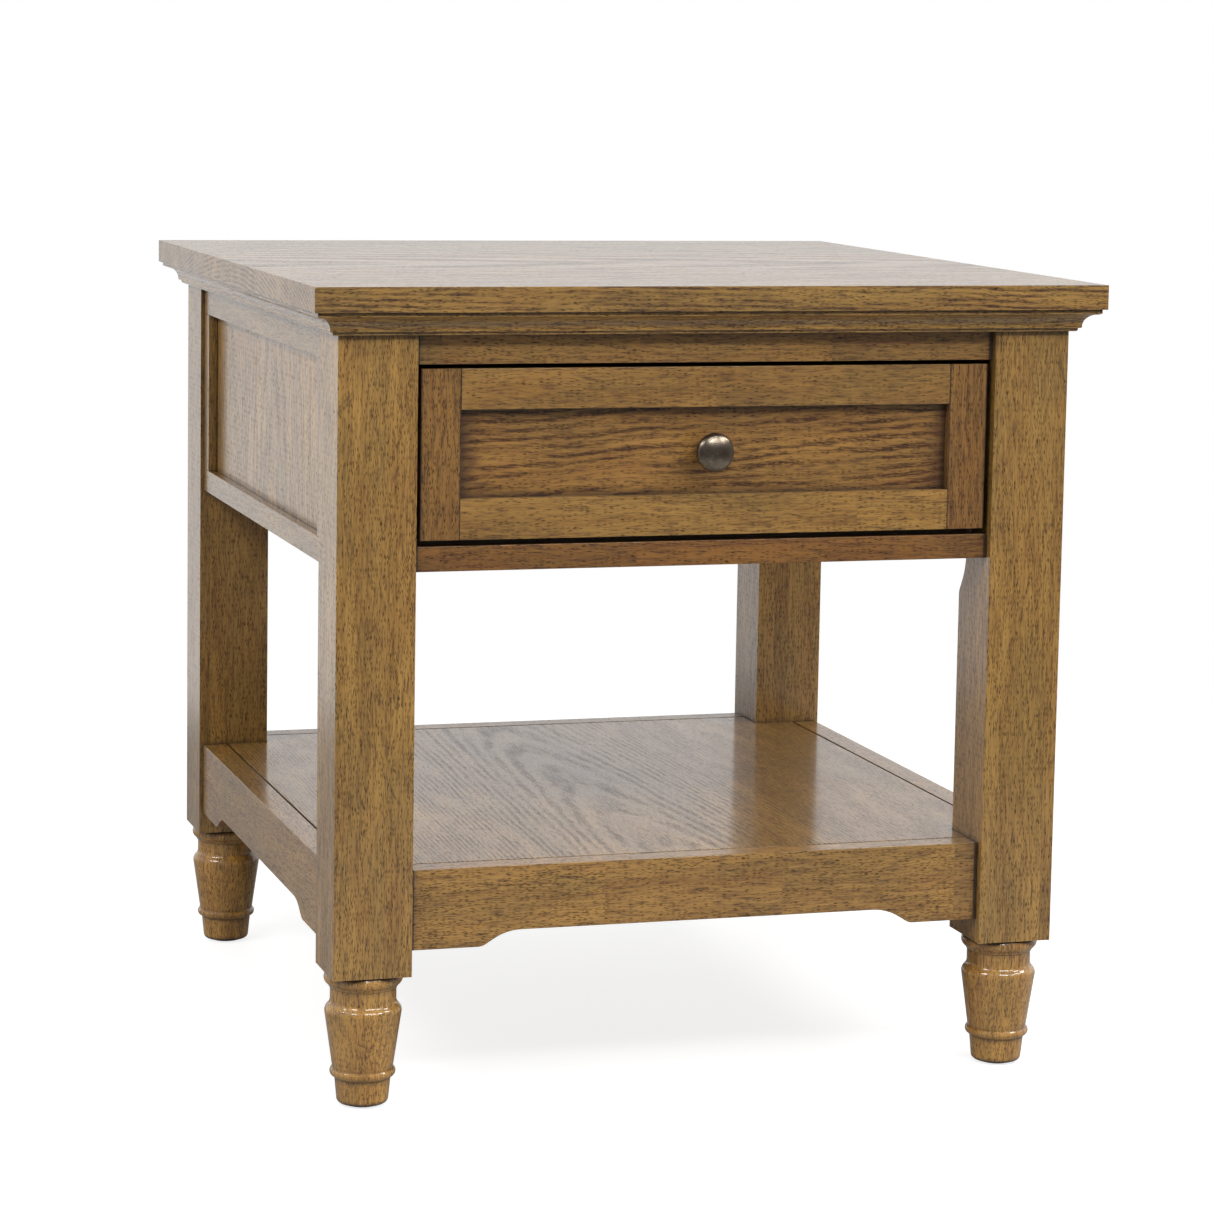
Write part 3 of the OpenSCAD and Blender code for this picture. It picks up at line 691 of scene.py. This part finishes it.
def dress_drawer():
    wooden("drawer_rail_top", ALONG_X_FACE_FRONT, 61, tone=0.86, warmth=0.1, stave=230.0,
           figure=0.25, pores=0.3)
    wooden("drawer_rail_bottom", ALONG_X_FACE_FRONT, 62, ease=1.0 * MM, tone=0.95, warmth=0.06,
           stave=230.0, figure=0.3, pores=0.35)
    wooden("drawer_stile_left", ALONG_Z_FACE_FRONT, 63, lined=True, tone=0.7, warmth=0.22,
           figure=0.35, pores=0.7, red=0.6)
    wooden("drawer_stile_right", ALONG_Z_FACE_FRONT, 64, lined=True, tone=0.71, warmth=0.27,
           figure=0.5, pores=0.3, red=0.9)
    wooden("drawer_panel", ALONG_X_FACE_FRONT, 65, ease=0, smoky=True, tone=0.8, warmth=0.19,
           figure=1.0, ring=6.0, pith=24.0, pith_side=6.0, taper=-0.05, calm=1.0, pores=0.12,
           red=0.6, crease=0.3)
    for node, order, seed in (
        ("drawer_side_left", ALONG_Y_FACE_SIDE, 66),
        ("drawer_side_right", ALONG_Y_FACE_SIDE, 67),
        ("drawer_box_front", ALONG_X_FACE_FRONT, 68),
        ("drawer_box_back", ALONG_X_FACE_FRONT, 69),
    ):
        wooden(node, order, seed, ease=0.3 * MM, colours=RAW, figure=0.4)
    wooden("drawer_bottom", ALONG_X_FACE_UP, 70, ease=0, colours=RAW, strip=160.0, figure=0.4)


def dress_inside():
    for node, order, seed in (
        ("upper_corner_blocks", ALONG_X_FACE_UP, 81),
        ("lower_corner_blocks", ALONG_X_FACE_UP, 82),
        ("foot_dowels", ALONG_Z_FACE_FRONT, 83),
        ("dust_panel", ALONG_X_FACE_UP, 84),
    ):
        wooden(node, order, seed, ease=0, colours=RAW)


def dress_fittings():
    dress("knob", antique_bronze("antique_bronze"))
    steel = zinc_steel("zinc_steel")
    for node in NODES:
        if node.startswith("slide_") or node in STEEL_PIECES:
            dress(node, steel)
    dress("foot_glides", nylon("nylon"))


# ---- Camera, floor and light ----


def add_object(name, data):
    thing = bpy.data.objects.new(name, data)
    bpy.context.scene.collection.objects.link(thing)
    return thing


def direction(azimuth, elevation):
    """Unit vector from the table to a viewer; azimuth 0 is in front and grows towards +X."""
    a, e = math.radians(azimuth), math.radians(elevation)
    return Vector((math.sin(a) * math.cos(e), -math.cos(a) * math.cos(e), math.sin(e)))


def make_camera():
    data = bpy.data.cameras.new("camera")
    data.lens = CAMERA_LENS
    data.sensor_width = CAMERA_SENSOR
    data.shift_y = CAMERA_SHIFT_Y
    data.clip_end = CAMERA_REACH
    camera = add_object("camera", data)
    camera.rotation_mode = "QUATERNION"
    heading = Matrix.Rotation(math.radians(CAMERA_HEADING), 3, "Z")
    tilt = Matrix.Rotation(math.radians(90 - CAMERA_TILT), 3, "X")
    roll = Matrix.Rotation(math.radians(CAMERA_ROLL), 3, "Z")
    camera.rotation_quaternion = (heading @ tilt @ roll).to_quaternion()
    camera.location = CENTRE + direction(CAMERA_AZIMUTH, CAMERA_ELEVATION) * CAMERA_DISTANCE
    bpy.context.scene.camera = camera


def make_floor():
    """A round pale floor under the feet, which fades into the pale studio far from them."""
    mesh = bpy.data.meshes.new("floor")
    turns = [2 * math.pi * i / FLOOR_SIDES for i in range(FLOOR_SIDES)]
    rim = [(FLOOR_RADIUS * math.cos(turn), FLOOR_RADIUS * math.sin(turn), 0.0) for turn in turns]
    mesh.from_pydata(rim, [], [list(range(FLOOR_SIDES))])
    floor = add_object("floor", mesh)
    floor.location.z = LOW.z
    material, g = new_material("pale_floor")
    place = g.place()
    dark, light = ((grey, grey, grey, 1.0) for grey in FLOOR_GREYS)
    colour = g.mix(g.noise(place, FLOOR_CLOUD), dark, light)
    glow = g.times(g.add("LightPath", {}, output="Is Camera Ray"), FLOOR_GLOW)
    pale = g.add(
        "BsdfPrincipled",
        {
            "Base Color": colour,
            "Roughness": FLOOR_ROUGHNESS,
            "Emission Color": (1.0, 1.0, 1.0, 1.0),
            "Emission Strength": glow,
        },
    )
    away = g.add("VectorMath", {0: place}, output="Value", operation="LENGTH")
    fade = g.step(away, [FLOOR_RADIUS * share for share in FLOOR_FADE])
    g.surface(g.add("MixShader", {0: fade, 1: pale, 2: g.add("BsdfTransparent", {})}))
    mesh.materials.append(material)


def make_soft_box(name, azimuth, width, power):
    data = bpy.data.lights.new(name, "AREA")
    data.shape = "RECTANGLE"
    data.size, data.size_y = width, SOFT_BOX_HEIGHT
    data.energy = power
    light = add_object(name, data)
    light.location = CENTRE + direction(azimuth, SOFT_BOX_ELEVATION) * SOFT_BOX_DISTANCE
    light.rotation_mode = "QUATERNION"
    light.rotation_quaternion = (CENTRE - light.location).to_track_quat("-Z", "Y")


def make_lights():
    """Three soft boxes in front, and a studio that is dim in front and pale behind."""
    world = bpy.data.worlds.new("studio")
    world.use_nodes = True
    g = Graph(world.node_tree)
    _, back, up = g.split(g.add("TexCoord", {}, output="Generated"))
    glow = g.step(back, STUDIO_TURN, STUDIO_FRONT, STUDIO_BACK)
    glow = g.times(glow, g.step(up, STUDIO_RISE, 1.0, STUDIO_CEILING))
    strength = g.most(g.add("LightPath", {}, output="Is Camera Ray"), glow)
    g.surface(g.add("Background", {"Color": (1.0, 1.0, 1.0, 1.0), "Strength": strength}), "OutputWorld")
    bpy.context.scene.world = world
    for soft_box in SOFT_BOXES:
        make_soft_box(*soft_box)


def set_colours():
    view = bpy.context.scene.view_settings
    view.view_transform = "Standard"
    view.look = "None"


make_camera()
dress_top()
dress_legs()
dress_case()
dress_shelf()
dress_drawer()
dress_inside()
dress_fittings()
make_floor()
make_lights()
set_colours()
